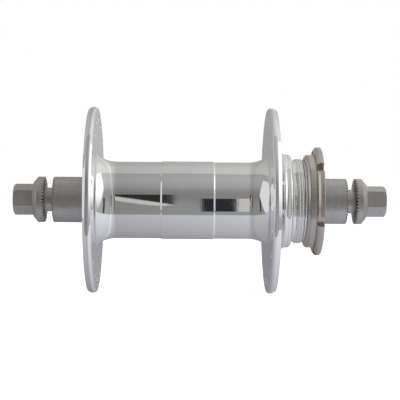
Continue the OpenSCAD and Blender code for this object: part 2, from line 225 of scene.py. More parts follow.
class TrackHubEndSizes(PropertyGroup):
    """Sizes of the end caps, the washers and the bolts"""

    cap_d: mm("Cap diameter", 18.7, "Diameter of an end cap")
    cap_nose_d: mm("Cap nose diameter", 17.6, "Diameter of a cap's nose")
    cap_nose: mm("Cap nose length", 1.2, "Length of a cap's nose")
    cap_bore_d: mm("Cap bore", 14.04, "Diameter of the bore that takes the axle's end")
    cap_floor: mm("Cap floor", 1.7, "Thickness of the cap's serrated end")
    cap_bevel: mm("Cap bevel", 0.3, "Bevel round the serrated face")
    neck_play: mm("Neck play", 0.1, "Radial gap between a bolt's neck and the washer's hole")
    teeth: count("Teeth", 42, "Teeth on each serrated face")
    tooth_depth: mm("Tooth depth", 0.9, "Depth of the teeth")
    tooth_flank: factor("Tooth flank", 0.5, "Half the width of a groove, as a share of its depth")
    tooth_start_r: mm("Tooth start", 6.3, "Radius at which the teeth start")
    washer_cone: mm("Washer cone", 1.8, "Length of the washer's cone")
    washer_cone_d: mm("Cone end", 14.4, "Diameter where the washer's cone ends")
    washer_round: mm("Washer rounding", 0.5, "Rounding of the washer's serrated edge")
    washer_floor: mm("Washer floor", 1.9, "Thickness between the serrations and the collar")
    collar_d: mm("Collar diameter", 14, "Diameter of the bolt's collar")
    collar_t: mm("Collar thickness", 1.8, "Thickness of the bolt's collar")
    hex_flats: mm("Hex flats", 11.11, "Size of the hex head across its flats")
    hex_round: mm("Hex rounding", 1.3, "Rounding of the hex head's outer end")
    left_hex_turn: turn("Left hex turn", 24.3, "Turn of the left hex head")
    right_hex_turn: turn("Right hex turn", 20, "Turn of the right hex head")


class TrackHubBearingSizes(PropertyGroup):
    """Sizes of the two sealed bearings"""

    outside_d: mm("Outside diameter", 28, "Outside diameter of a bearing")
    bore_d: mm("Bore", 15, "Bore of a bearing")
    race_t: mm("Race thickness", 2, "Thickness of a race at its lands")
    groove_r: mm("Groove radius", 1.85, "Radius of the ball grooves")
    seal_seat: mm("Seal seat depth", 0.6, "Depth of the step that holds a seal")
    seal_seat_run: mm("Seal seat length", 1, "Length of the step that holds a seal")
    bevel: mm("Race bevel", 0.3, "Bevel on the races' outer corners")


class TrackHubFinishes(PropertyGroup):
    """Colours of the finishes"""

    polished_aluminium: colour("Polished aluminium", (0.86, 0.86, 0.87), "Colour of the polished shell")
    lockring_steel: colour("Lockring steel", (0.57, 0.525, 0.485), "Colour of the lockring")
    stainless_steel: colour("Stainless steel", (0.52, 0.51, 0.50), "Colour of the end pieces and the axle")
    race_steel: colour("Race steel", (0.62, 0.63, 0.66), "Colour of the bearing races")
    ball_steel: colour("Ball steel", (0.75, 0.76, 0.78), "Colour of the balls")
    cage_brass: colour("Cage brass", (0.72, 0.56, 0.27), "Colour of the ball cages")
    seal_rubber: colour("Seal rubber", (0.05, 0.05, 0.055), "Colour of the bearing seals")


class TrackHubStudio(PropertyGroup):
    """Camera and floor of the studio"""

    camera_at: mm("Camera distance", 477, "Distance from the axle to the camera")
    camera_side: mm("Camera offset", 6.8, "How far the camera stands towards the left end")
    lens: setting(FloatProperty, "Lens", 104.3, "Focal length in mm", min=1)
    aim_up: mm("Aim height", 0.18, "Height above the axle that the camera looks at")
    roll: turn("Camera roll", 0.4, "Turn of the camera about its own line of sight")
    floor_size: length("Floor size", 6, "Width and depth of the floor")
    lamp_power: setting(FloatProperty, "Lamp power", 3, "Power of the lamp in watts")


def polar(radius, angle, station):
    """A point of the frame from its radius, its angle about the axle and its station."""
    return Vector((radius * cos(angle), -station, radius * sin(angle)))


def polar_of(point):
    """The radius, angle and station of a point."""
    return hypot(point.x, point.z), atan2(point.z, point.x), -point.y


def arc(centre, radius, start, end):
    """The points of an arc in a section, from one angle to another."""
    steps = max(2, ceil(abs(end - start) / ARC_STEP))
    angles = [start + (end - start) * i / steps for i in range(steps + 1)]
    return [(centre[0] + radius * cos(a), centre[1] + radius * sin(a)) for a in angles]


def rounded(corners, closed=False):
    """A section from its corners, each (radius, station, rounding). Open ends stay sharp."""
    points = []
    for i, (radius, station, rounding) in enumerate(corners):
        corner = Vector((radius, station))
        if rounding == 0 or not (closed or 0 < i < len(corners) - 1):
            points.append(tuple(corner))
            continue
        back = (Vector(corners[i - 1][:2]) - corner).normalized()
        ahead = (Vector(corners[(i + 1) % len(corners)][:2]) - corner).normalized()
        half = back.angle(ahead) / 2
        run = rounding / tan(half)
        centre = corner + (back + ahead).normalized() * rounding / sin(half)
        start = corner + back * run - centre
        end = corner + ahead * run - centre
        from_angle = atan2(start.y, start.x)
        swept = remainder(atan2(end.y, end.x) - from_angle, FULL_TURN)
        points.append(tuple(corner + back * (run + HOLD)))
        points += arc(centre, rounding, from_angle, from_angle + swept)
        points.append(tuple(corner + ahead * (run + HOLD)))
    return points


def everything(bm):
    return [*bm.verts, *bm.edges, *bm.faces]


def wire(bm, points, closed=False):
    """Joins new vertices with edges. Gives both."""
    verts = [bm.verts.new(point) for point in points]
    following = verts[1:] + verts[:1] if closed else verts[1:]
    return verts + [bm.edges.new(pair) for pair in zip(verts, following)]


def spun(bm, geom, angle, steps, axis=ALONG_AXLE, rise=0.0, copied=False):
    """Spins geometry about the axle, or copies it round. rise is how far each step moves along the axle."""
    bmesh.ops.spin(
        bm, geom=geom, cent=Vector(), axis=axis, dvec=ALONG_AXLE * rise, angle=angle, steps=steps,
        use_duplicate=copied
    )


def extruded(bm, edges):
    """Extrudes edges in place. Gives the new vertices and the new edges between them."""
    fresh = bmesh.ops.extrude_edge_only(bm, edges=edges)["geom"]
    verts = {item for item in fresh if isinstance(item, bmesh.types.BMVert)}
    edges = [item for item in fresh if isinstance(item, bmesh.types.BMEdge)]
    return verts, [edge for edge in edges if verts.issuperset(edge.verts)]


def lathe(bm, section, steps, start=0.0, closed=False):
    """Spins a section once round the axle, from a start angle."""
    part = bmesh.new()
    profile = wire(part, [polar(radius, start, station) for radius, station in section], closed)
    spun(part, profile, FULL_TURN / SECTORS, steps // SECTORS)
    spun(part, everything(part), FULL_TURN - FULL_TURN / SECTORS, SECTORS - 1, copied=True)
    bmesh.ops.remove_doubles(part, verts=part.verts, dist=WELD)
    return added(bm, part)


def grow(bm, slots, section, place, closed=False):
    """Extrudes a ring of slots along a section. place(point, slot) says where each vertex goes."""
    layer = bm.verts.layers.int.get("slot") or bm.verts.layers.int.new("slot")
    made = bmesh.ops.create_circle(bm, segments=slots, radius=1)["verts"]
    for i, vert in enumerate(made):
        vert[layer] = i
        vert.co = place(section[0], i)
    ring = list({edge for vert in made for edge in vert.link_edges})
    for point in section[1:] + (section[:1] if closed else []):
        verts, ring = extruded(bm, ring)
        for vert in verts:
            vert.co = place(point, vert[layer])
    return bm


def thread(bm, crest_r, root_r, pitch, start, end, right_hand=True, steps=THREAD_STEPS):
    """A helical thread between two ends, each (radius that it runs out to, station)."""
    middle, half = (crest_r + root_r) / 2, (crest_r - root_r) / 2
    points = []
    for i in range(THREAD_POINTS + 1):
        share = i / THREAD_POINTS
        wave = min(THREAD_FLATS * (cos(share * FULL_TURN) + 1) - 1, 1)
        points.append(polar(middle + half * wave, 0, start[1] - pitch + share * pitch))
    part = bmesh.new()
    copies = SECTORS * (ceil((end[1] - start[1]) / pitch) + 1)
    axis = ALONG_AXLE if right_hand else -ALONG_AXLE
    spun(part, wire(part, points), FULL_TURN / SECTORS, steps // SECTORS, axis, pitch / steps)
    swept = (copies - 1) * FULL_TURN / SECTORS
    spun(part, everything(part), swept, copies - 1, axis, pitch / SECTORS, copied=True)
    bmesh.ops.remove_doubles(part, verts=part.verts, dist=WELD)
    for (_, station), is_end in ((start, False), (end, True)):
        bmesh.ops.bisect_plane(
            part, geom=everything(part), dist=WELD, plane_co=polar(0, 0, station), plane_no=ALONG_AXLE,
            clear_outer=is_end, clear_inner=not is_end
        )
    for vert in part.verts:
        radius, angle, station = polar_of(vert.co)
        for end_r, at in (start, end):
            run = abs(station - at)
            radius = min(max(radius, end_r - run), end_r + run)
        vert.co = polar(radius, angle, station)
    return added(bm, part)


def mesh_of(bm, name):
    """Turns a bmesh into a mesh."""
    mesh = bpy.data.meshes.new(name)
    bm.to_mesh(mesh)
    bm.free()
    return mesh


def shown(name, data):
    """A new object in the scene."""
    made = bpy.data.objects.new(name, data)
    bpy.context.scene.collection.objects.link(made)
    return made


def added(bm, part):
    """Moves another bmesh into this one."""
    mesh = mesh_of(part, "part")
    bm.from_mesh(mesh)
    bpy.data.meshes.remove(mesh)
    return bm


def rim(bm, radius, station):
    """The open edges that lie on one circle."""
    found = [
        edge for edge in bm.edges if edge.is_boundary and all(
            abs(-v.co.y - station) < HOLD / 4 and abs(hypot(v.co.x, v.co.z) - radius) < HOLD / 4
            for v in edge.verts
        )
    ]
    if not found:
        raise RuntimeError(f"no open edge at station {station:.5f} and radius {radius:.5f}")
    return found


def bridge(bm, first, second):
    """Joins two open circles, each (radius, station)."""
    bmesh.ops.bridge_loops(bm, edges=rim(bm, *first) + rim(bm, *second))


def finish_piece(bm, name, node, finish, mirrored=False):
    """Makes a closed bmesh the piece that stands for a CAD node, mirrored to the left end where asked."""
    bmesh.ops.remove_doubles(bm, verts=bm.verts, dist=WELD)
    if mirrored:
        bmesh.ops.scale(bm, vec=(1, -1, 1), verts=bm.verts)
    bmesh.ops.recalc_face_normals(bm, faces=bm.faces)
    for face in bm.faces:
        face.smooth = True
    for edge in bm.edges:
        if len(edge.link_faces) != 2:
            raise RuntimeError(f"{name} isn't closed at {polar_of(edge.verts[0].co)}")
        edge.smooth = edge.calc_face_angle() < CREASE
    made = shown(name, mesh_of(bm, name))
    dress(made, node, finish)
    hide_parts(node)


def finish_end(bm, side, name, node):
    """Makes a closed bmesh, built for the right end, a steel piece of either end."""
    finish_piece(bm, f"{side}_{name}", f"{side}_{node}", "stainless_steel", mirrored=side == "left")


def dress(made, node, finish):
    """Gives a piece its finish and the body of its CAD node."""
    bodies = frame["record"]["behaviour"]["bodies"]
    body = next(name for name, nodes in bodies.items() if node in nodes)
    made.data.materials.clear()
    made.data.materials.append(material_of(finish))
    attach(made, body)


def sweep(shell, face, away):
    """The section of a flange's sweep, from the barrel to the flange's inner face. away is +1 or -1."""
    big = Vector((shell.barrel_d / 2 + shell.sweep_r, shell.sweep_run))
    drop = big.y - shell.sweep_root_r
    small = Vector((big.x - sqrt((shell.sweep_r - shell.sweep_root_r) ** 2 - drop ** 2), shell.sweep_root_r))
    meet = atan2(small.y - big.y, small.x - big.x) % FULL_TURN
    points = [(shell.barrel_d / 2, shell.sweep_run + HOLD)]
    points += arc(big, shell.sweep_r, pi, meet)
    points += arc(small, shell.sweep_root_r, meet, 1.5 * pi)[1:]
    points.append((small.x + HOLD, 0))
    return [(radius, face + away * run) for radius, run in points]


def hole_rings(shell):
    """Radii of the rings beside the spoke holes."""
    return [shell.hole_circle_d / 2 + shell.hole_d / 2 * share for share in HOLE_RINGS]


def drilled_ring(bm, shell, first, faces):
    """The ring of a flange that holds the spoke holes. first is the first hole's angle."""
    part = bmesh.new()
    rings = hole_rings(shell)
    share = FULL_TURN / shell.holes
    window = WINDOW_STEPS * FULL_TURN / SHELL_STEPS
    for face in faces:
        row = wire(part, [polar(radius, first - share / 2, face) for radius in rings])
        spun(part, row, share, SHELL_STEPS // shell.holes)

    def in_window(point):
        radius, angle, _ = polar_of(point)
        off = abs(remainder(angle - first, FULL_TURN))
        return rings[1] - HOLD < radius < rings[-2] + HOLD and off < window + HOLD

    waste = [face for face in part.faces if in_window(face.calc_center_median())]
    bmesh.ops.delete(part, geom=waste, context="FACES")
    lie_flat = Matrix.Rotation(pi / 2, 4, "X")
    walls = []
    for face in faces:
        centre = polar(shell.hole_circle_d / 2, first, face)
        inwards = copysign(shell.hole_sink, sum(faces) / 2 - face)
        side = [
            edge for edge in part.edges
            if edge.is_boundary and all(in_window(v.co) and abs(-v.co.y - face) < HOLD for v in edge.verts)
        ]
        made = bmesh.ops.create_circle(
            part, segments=HOLE_STEPS, radius=shell.hole_d / 2 + shell.hole_sink,
            matrix=Matrix.Translation(centre) @ lie_flat
        )["verts"]
        mouth = list({edge for vert in made for edge in vert.link_edges})
        bmesh.ops.bridge_loops(part, edges=side + mouth)
        verts, sunk = extruded(part, mouth)
        for vert in verts:
            vert.co = centre + (vert.co - centre).normalized() * shell.hole_d / 2 + ALONG_AXLE * inwards
        walls += sunk
    bmesh.ops.bridge_loops(part, edges=walls)
    spun(part, everything(part), FULL_TURN - share, shell.holes - 1, copied=True)
    return added(bm, part)


class TRACKHUB_OT_shell(Operator):
    """Build the polished shell with its flanges, spoke holes and threads"""

    bl_idname = "trackhub.shell"
    bl_label = "Shell"

    def execute(self, context):
        shell = context.scene.trackhub_shell
        threads = context.scene.trackhub_threads
        start, end = stations("hub_shell")
        rim_r, barrel_r, band_r = shell.flange_d / 2, shell.barrel_d / 2, shell.band_d / 2
        left_out, left_in = start, start + shell.flange_t
        right_out, right_in = shell.right_flange_at, shell.right_flange_at - shell.flange_t
        shoulder_r = shell.shoulder_d / 2
        band_end = shell.band_start + shell.band_w
        slope = shell.band_slope
        depth = threads.pitch * threads.depth
        cog_r, ring_r = threads.cog_d / 2, threads.lockring_d / 2
        rings = hole_rings(shell)
        inner, outer = rings[0], rings[-1]
        dish = shell.flange_dish / (inner - shoulder_r - shell.shoulder_fillet)
        seat = reach("left_outer_race")
        left_seat, right_seat = stations("left_outer_race")[1], stations("right_outer_race")[0]
        low_rim = rim_r - shell.rim_drop
        mouth = 0.6 * MM
        soft = 0.1 * MM

        cog_from = (cog_r - depth, threads.cog_from - threads.lead)
        ring_to = (ring_r - depth, end - 2 * soft)
        edge = [(barrel_r, 2, 0), (barrel_r, 0.5, 0.5), (band_r, -0.5, 0.5), (band_r, -2, 0)]
        band = []
        for at, way, corners in ((band_end, 1, edge), (shell.band_start, -1, edge[::-1])):
            band += [(radius, at + way * slope * run, slope * soften) for radius, run, soften in corners]

        def rim_section(high, low, high_slope, low_slope, low_round):
            return rounded([
                (outer, high, 0), (low_rim, high, soft), (rim_r, high - high_slope, shell.rim_round),
                (rim_r, low + low_slope, low_round), (low_rim, low, soft), (outer, low, 0),
            ])

        bm = bmesh.new()
        chains = [
            rounded([
                (*cog_from, 0), (cog_r - depth, shell.shoulder_at, 2 * soft),
                (shoulder_r, shell.shoulder_at, shell.shoulder_round),
                (shoulder_r, right_out + dish * (inner - shoulder_r), shell.shoulder_fillet),
                (inner, right_out, 0),
            ]),
            rim_section(
                right_out, right_in, shell.right_rim_slope, shell.right_rim_back, shell.rim_round / 2
            ),
            [(inner, right_in), *sweep(shell, right_in, -1)[::-1]] + rounded(band)
            + [*sweep(shell, left_in, 1), (inner, left_in)],
            rim_section(left_in, left_out, shell.rim_slope, shell.rim_slope, shell.rim_round),
            rounded([
                (inner, left_out, 0), (seat + mouth, left_out, soft),
                (seat, left_out + mouth, soft), (seat, left_seat, 0),
                (shell.hollow_d / 2, left_seat, 2 * soft),
                (shell.hollow_d / 2, right_seat, 2 * soft), (seat, right_seat, 0),
                (seat, end - mouth, soft), (seat + mouth, end, soft),
                (ring_r - depth - 2 * soft, end, 0), (*ring_to, 0),
            ]),
        ]
        for chain in chains:
            lathe(bm, chain, SHELL_STEPS, shell.hole_turn)
        drilled_ring(bm, shell, shell.hole_turn, (left_out, left_in))
        drilled_ring(bm, shell, shell.hole_turn + FULL_TURN / shell.holes / 2, (right_in, right_out))
        cog_start, cog_end = (cog_r - depth, threads.cog_from), (cog_r - depth, threads.cog_to)
        ring_start = (ring_r, threads.cog_to + threads.lead)
        ring_end = (ring_r - depth, ring_to[1] - threads.lead)
        thread(bm, cog_r, cog_r - depth, threads.pitch, cog_start, cog_end)
        thread(bm, ring_r, ring_r - depth, threads.pitch, ring_start, ring_end, right_hand=False)
        bridge(bm, cog_from, cog_start)
        bridge(bm, cog_end, ring_start)
        bridge(bm, ring_end, ring_to)
        finish_piece(bm, "polished_shell", "hub_shell", "polished_aluminium")
        return {"FINISHED"}


class TRACKHUB_OT_lockring(Operator):
    """Build the lockring with its left-hand thread and its spanner notches"""

    bl_idname = "trackhub.lockring"
    bl_label = "Lockring"

    def execute(self, context):
        sizes = context.scene.trackhub_lockring
        threads = context.scene.trackhub_threads
        start, end = stations("lockring")
        bore_r = threads.lockring_d / 2 + sizes.play
        root_r = bore_r + threads.pitch * threads.depth / 2
        body_r, edge_r = sizes.body_d / 2, sizes.flange_d / 2
        floor_r = edge_r - sizes.notch_depth
        flange_at = start + sizes.body_run
        soft = 0.12 * MM
        mouth = 0.3 * MM
        inner = (root_r, start + mouth + threads.lead)
        outer = (root_r, end - mouth - threads.lead)
        section = rounded([
            (root_r, start + mouth, 0), (root_r + mouth, start, soft),
            (body_r, start, sizes.nose_round), (body_r, flange_at, 0),
            (edge_r - sizes.flange_bevel, flange_at, soft),
            (edge_r, flange_at + sizes.flange_bevel, soft), (edge_r, end - sizes.back_bevel, soft),
            (edge_r - sizes.back_bevel, end, soft), (root_r + mouth, end, soft),
            (root_r, end - mouth, 0),
        ])
        half_w = sizes.notch_w / 2
        sector = FULL_TURN / sizes.notches
        wall = asin(half_w / edge_r)
        middle = SLOTS_PER_NOTCH // 2

        def place(point, slot):
            radius, station = point
            sector_at = sizes.notch_turn + (slot // SLOTS_PER_NOTCH) * sector
            step = slot % SLOTS_PER_NOTCH - middle
            side = copysign(1, step)
            if abs(step) <= WALL_SLOT:
                off = wall * step / WALL_SLOT
            else:
                off = side * (wall + (sector / 2 - wall) * (abs(step) - WALL_SLOT) / (middle - WALL_SLOT))
            if radius > floor_r:
                if abs(step) == WALL_SLOT:
                    off = side * asin(half_w / radius)
                elif abs(step) <= FLOOR_SLOTS:
                    offset = half_w * step / FLOOR_SLOTS
                    radius, off = hypot(floor_r, offset), atan2(offset, floor_r)
            return polar(radius, sector_at + off, station)

        bm = grow(bmesh.new(), SLOTS_PER_NOTCH * sizes.notches, section, place)
        thread(bm, bore_r, root_r, threads.pitch, inner, outer, right_hand=False, steps=RING_STEPS)
        bridge(bm, (root_r, start + mouth), inner)
        bridge(bm, outer, (root_r, end - mouth))
        finish_piece(bm, "notched_lockring", "lockring", "lockring_steel")
        return {"FINISHED"}


def toothed(ends, face, looks):
    """A place function that cuts V grooves into a face, so that teeth stand between them.

    looks is +1 where the face looks to the drive side. The first three slots of a tooth are a groove's side,
    root and other side.
    """
    step = FULL_TURN / ends.teeth / SLOTS_PER_TOOTH

    def place(point, slot):
        radius, station = point
        tooth, part = divmod(slot, SLOTS_PER_TOOTH)
        angle = (tooth * SLOTS_PER_TOOTH + part) * step
        depth = looks * (face - station)
        on_face = radius > ends.tooth_start_r - WELD and depth < ends.tooth_depth + WELD
        if on_face and part < SLOTS_PER_TOOTH - 1:
            root = (tooth * SLOTS_PER_TOOTH + 1) * step
            open_w = max(ends.tooth_depth - depth, 0) * ends.tooth_flank
            angle = root + (part - 1) * asin(open_w / radius)
            if part == 1:
                station = face - looks * ends.tooth_depth
        return polar(radius, angle - step, station)

    return place


class TRACKHUB_OT_end_caps(Operator):
    """Build the two end caps with their serrated faces"""

    bl_idname = "trackhub.end_caps"
    bl_label = "End caps"

    def execute(self, context):
        ends = context.scene.trackhub_ends
        threads = context.scene.trackhub_threads
        neck_r = threads.bolt_d / 2 + 2 * ends.neck_play
        soft = 0.15 * MM
        for side in SIDES:
            low, high = stations(f"{side}_end_cap")
            nose, face = (low, high) if side == "right" else (-high, -low)
            cap_r, bore_r = ends.cap_d / 2, ends.cap_bore_d / 2
            section = rounded([
                (bore_r, face - ends.cap_floor, 0), (bore_r, nose, soft),
                (ends.cap_nose_d / 2, nose, soft), (ends.cap_nose_d / 2, nose + ends.cap_nose, 0),
                (cap_r, nose + ends.cap_nose, soft), (cap_r, face - ends.tooth_depth, 0),
                (cap_r, face - ends.cap_bevel, 0), (cap_r - ends.cap_bevel, face, 0),
                (ends.tooth_start_r, face, 0), (neck_r + soft, face, 0),
                (neck_r, face - soft, 0), (neck_r, face - ends.cap_floor, 0),
            ])
            slots = ends.teeth * SLOTS_PER_TOOTH
            bm = grow(bmesh.new(), slots, section, toothed(ends, face, 1), closed=True)
            finish_end(bm, side, "serrated_cap", "end_cap")
        return {"FINISHED"}


class TRACKHUB_OT_washers(Operator):
    """Build the two serrated washers"""

    bl_idname = "trackhub.washers"
    bl_label = "Serrated washers"

    def execute(self, context):
        ends = context.scene.trackhub_ends
        threads = context.scene.trackhub_threads
        face, back = stations("right_serrated_washer")
        washer_r = reach("right_serrated_washer")
        neck_r = threads.bolt_d / 2 + ends.neck_play
        pocket_r = ends.collar_d / 2 + ends.neck_play
        lip_r = ends.hex_flats / 2 / cos(HEX_HALF) + 2 * ends.neck_play
        pocket_end = face + ends.washer_floor + ends.collar_t + 2 * ends.neck_play
        soft = 0.2 * MM
        section = rounded([
            (neck_r, face + soft / 2, 0), (neck_r + soft / 2, face, 0),
            (ends.tooth_start_r, face, 0), (washer_r, face, ends.washer_round),
            (washer_r, back - ends.washer_cone, 1.5 * soft), (ends.washer_cone_d / 2, back, soft),
            (lip_r, back, soft / 2), (lip_r, pocket_end, 0),
            (pocket_r, pocket_end, 0), (pocket_r, face + ends.washer_floor, 0),
            (neck_r, face + ends.washer_floor, 0),
        ], closed=True)
        for side in SIDES:
            slots = ends.teeth * SLOTS_PER_TOOTH
            bm = grow(bmesh.new(), slots, section, toothed(ends, face, -1), closed=True)
            finish_end(bm, side, "toothed_washer", "serrated_washer")
        return {"FINISHED"}


class TRACKHUB_OT_bolts(Operator):
    """Build the two axle bolts with their threads, collars and rounded hex heads"""

    bl_idname = "trackhub.bolts"
    bl_label = "Axle bolts"

    def execute(self, context):
        ends = context.scene.trackhub_ends
        threads = context.scene.trackhub_threads
        tip, end = stations("right_axle_bolt")
        washer = stations("right_serrated_washer")
        neck_r = threads.bolt_d / 2
        root_r = neck_r - threads.bolt_pitch * threads.depth
        collar_at = washer[0] + ends.washer_floor + ends.neck_play
        collar_end = collar_at + ends.collar_t
        bevel = 0.5 * MM
        soft = 0.1 * MM
        thread_from = (root_r, tip + bevel)
        thread_to = (neck_r, tip + threads.bolt_run)
        flat = ends.hex_flats / 2
        round_at = end - ends.hex_round
        core_r = flat / cos(HEX_HALF) + ends.hex_round * HEX_MARGIN - ends.hex_round
        side_slots = BOLT_STEPS // 6
        arc_steps = ceil(pi / 2 / ARC_STEP)

        def place(point, slot):
            """Where a point goes. A lathe point is (radius, station), and a head point is a number."""
            angle = slot * FULL_TURN / BOLT_STEPS
            if isinstance(point, tuple):
                return polar(point[0], angle, point[1])
            hex_r = flat / cos((slot % side_slots) * FULL_TURN / BOLT_STEPS - HEX_HALF)
            meet = acos(min((hex_r - core_r) / ends.hex_round, 1))
            if point == SIDE_FOOT:
                return polar(hex_r, angle, collar_end)
            if point == SIDE_TOP:
                return polar(hex_r, angle, round_at + ends.hex_round * sin(meet) - HOLD)
            over = meet + (pi / 2 - meet) * point
            return polar(core_r + ends.hex_round * cos(over), angle, round_at + ends.hex_round * sin(over))

        head = [SIDE_FOOT, SIDE_TOP] + [i / arc_steps for i in range(arc_steps + 1)]
        section = rounded([
            (neck_r, thread_to[1] + threads.lead, 0), (neck_r, collar_at, soft),
            (ends.collar_d / 2, collar_at, soft), (ends.collar_d / 2, collar_end, soft),
            (ends.collar_d / 2 - 2 * soft, collar_end, 0),
        ])
        lead_at = thread_from[1] - threads.lead
        point_section = [(0, tip), (root_r - soft, tip), (root_r, tip + soft), (root_r, lead_at)]
        for side in SIDES:
            turned = ends.left_hex_turn if side == "left" else ends.right_hex_turn
            bm = grow(bmesh.new(), BOLT_STEPS, section + head + [(core_r - HOLD, end), (0, end)], place)
            grow(bm, BOLT_STEPS, point_section, place)
            thread(
                bm, neck_r, root_r, threads.bolt_pitch, thread_from, thread_to, right_hand=side == "right",
                steps=BOLT_STEPS // 2
            )
            bridge(bm, (root_r, lead_at), thread_from)
            bridge(bm, thread_to, (neck_r, thread_to[1] + threads.lead))
            spin = Quaternion(ALONG_AXLE, turned).to_matrix()
            bmesh.ops.rotate(bm, cent=Vector(), matrix=spin, verts=bm.verts)
            finish_end(bm, side, "hex_bolt", "axle_bolt")
        return {"FINISHED"}


def seal_section(node, low, high, outwards):
    """A seal's ring with a raised bead at its edge, a sunk face and a lip."""
    edge_r = reach(node)
    lip_r = 9.6 * MM
    bead, sink, soft = 0.45 * MM, 0.2 * MM, 0.08 * MM
    back, front = (low, high) if outwards > 0 else (high, low)
    sunk = front - outwards * sink
    return rounded([
        (lip_r, back, 0), (lip_r, front, soft), (lip_r + bead, front, soft),
        (lip_r + bead + sink, sunk, soft), (edge_r - bead - sink, sunk, soft),
        (edge_r - bead, front, soft), (edge_r, front, soft), (edge_r, back, 0),
    ], closed=True)


class TRACKHUB_OT_bearings(Operator):
    """Build the races and seals of both bearings, and finish their balls and cages"""

    bl_idname = "trackhub.bearings"
    bl_label = "Bearings"

    def execute(self, context):
        sizes = context.scene.trackhub_bearings
        low, high = stations("left_outer_race")
        half = (high - low) / 2
        outer_r, bore_r = sizes.outside_d / 2, sizes.bore_d / 2
        land_out, land_in = outer_r - sizes.race_t, bore_r + sizes.race_t
        circle_r = (outer_r + bore_r) / 2
        bite = acos((land_out - circle_r) / sizes.groove_r)
        seat_r, seat_run = land_out + sizes.seal_seat, half - sizes.seal_seat_run
        soft = sizes.bevel / 3
        outer_groove = [(*point, 0) for point in arc((circle_r, 0), sizes.groove_r, -bite, bite)]
        inner_groove = [(*point, 0) for point in arc((circle_r, 0), sizes.groove_r, pi - bite, pi + bite)]
        outer_race = rounded([
            (outer_r, -half, sizes.bevel), (seat_r, -half, soft),
            (seat_r, -seat_run, 0), (land_out, -seat_run, 0),
            *outer_groove,
            (land_out, seat_run, 0), (seat_r, seat_run, 0),
            (seat_r, half, soft), (outer_r, half, sizes.bevel),
        ], closed=True)
        inner_race = rounded([
            (bore_r, -half, sizes.bevel), (bore_r, half, sizes.bevel), (land_in, half, soft),
            *inner_groove,
            (land_in, -half, soft),
        ], closed=True)
        for side in SIDES:
            middle = sum(stations(f"{side}_outer_race")) / 2
            for name, section in (("outer_race", outer_race), ("inner_race", inner_race)):
                moved = [(radius, middle + station) for radius, station in section]
                bm = lathe(bmesh.new(), moved, RING_STEPS, closed=True)
                finish_piece(bm, f"{side}_ground_{name}", f"{side}_{name}", "race_steel")
            for name in ("outer_seal", "inner_seal"):
                node = f"{side}_{name}"
                low, high = stations(node)
                outwards = 1 if (low + high) / 2 > middle else -1
                bm = lathe(bmesh.new(), seal_section(node, low, high, outwards), RING_STEPS, closed=True)
                finish_piece(bm, f"{side}_moulded_{name}", node, "seal_rubber")
            dress(frame["nodes"][f"{side}_balls"], f"{side}_balls", "ball_steel")
            dress(frame["nodes"][f"{side}_cage"], f"{side}_cage", "cage_brass")
        return {"FINISHED"}


class TRACKHUB_OT_axle(Operator):
    """Finish the hollow axle"""

    bl_idname = "trackhub.axle"
    bl_label = "Axle"

    def execute(self, context):
        dress(frame["nodes"]["axle"], "axle", "stainless_steel")
        return {"FINISHED"}


def new_node(tree, kind, inputs=(), **settings):
    """Adds a shader node with some attributes, and with constants in some of its inputs."""
    made = tree.nodes.new("ShaderNode" + kind)
    for name, value in settings.items():
        setattr(made, name, value)
    for name, value in dict(inputs).items():
        made.inputs[name].default_value = value
    return made


def feed(socket, value):
    """Puts another socket's output or a constant into an input."""
    if isinstance(value, bpy.types.NodeSocket):
        socket.id_data.links.new(value, socket)
    else:
        socket.default_value = value


def maths(tree, operation, *values):
    """A Math node over sockets and numbers. Gives its output socket."""
    made = new_node(tree, "Math", operation=operation)
    for socket, value in zip(made.inputs, values):
        feed(socket, value)
    return made.outputs[0]


def mapped(tree, value, low, high, to_low=0.0, to_high=1.0, smooth=True):
    """A socket mapped from one range to another. Gives its output socket."""
    made = new_node(tree, "MapRange", interpolation_type="SMOOTHSTEP" if smooth else "LINEAR")
    for socket, given in zip(made.inputs, (value, low, high, to_low, to_high)):
        feed(socket, given)
    return made.outputs[0]


def mixed(tree, share, first, second, blend="MIX"):
    """A colour between two, each a socket or a colour. Gives its output socket."""
    made = new_node(tree, "Mix", data_type="RGBA", blend_type=blend)
    for i, value in ((0, share), (6, first), (7, second)):
        is_colour = i > 0 and not isinstance(value, bpy.types.NodeSocket)
        feed(made.inputs[i], (*value, 1) if is_colour else value)
    return made.outputs[2]


def new_group(name, inputs, outputs):
    """A node group with number inputs, their defaults and number outputs, and its sockets inside."""
    tree = bpy.data.node_groups.new(name, "ShaderNodeTree")
    for title, default in inputs.items():
        socket = tree.interface.new_socket(title, in_out="INPUT", socket_type="NodeSocketFloat")
        socket.default_value = default
    for title in outputs:
        tree.interface.new_socket(title, in_out="OUTPUT", socket_type="NodeSocketFloat")
    return tree, tree.nodes.new("NodeGroupInput").outputs, tree.nodes.new("NodeGroupOutput").inputs


def axes_of(tree, coordinates):
    """The x, y and z of a texture coordinate."""
    place = new_node(tree, "TexCoord")
    axes = new_node(tree, "SeparateXYZ")
    feed(axes.inputs[0], place.outputs[coordinates])
    return axes.outputs


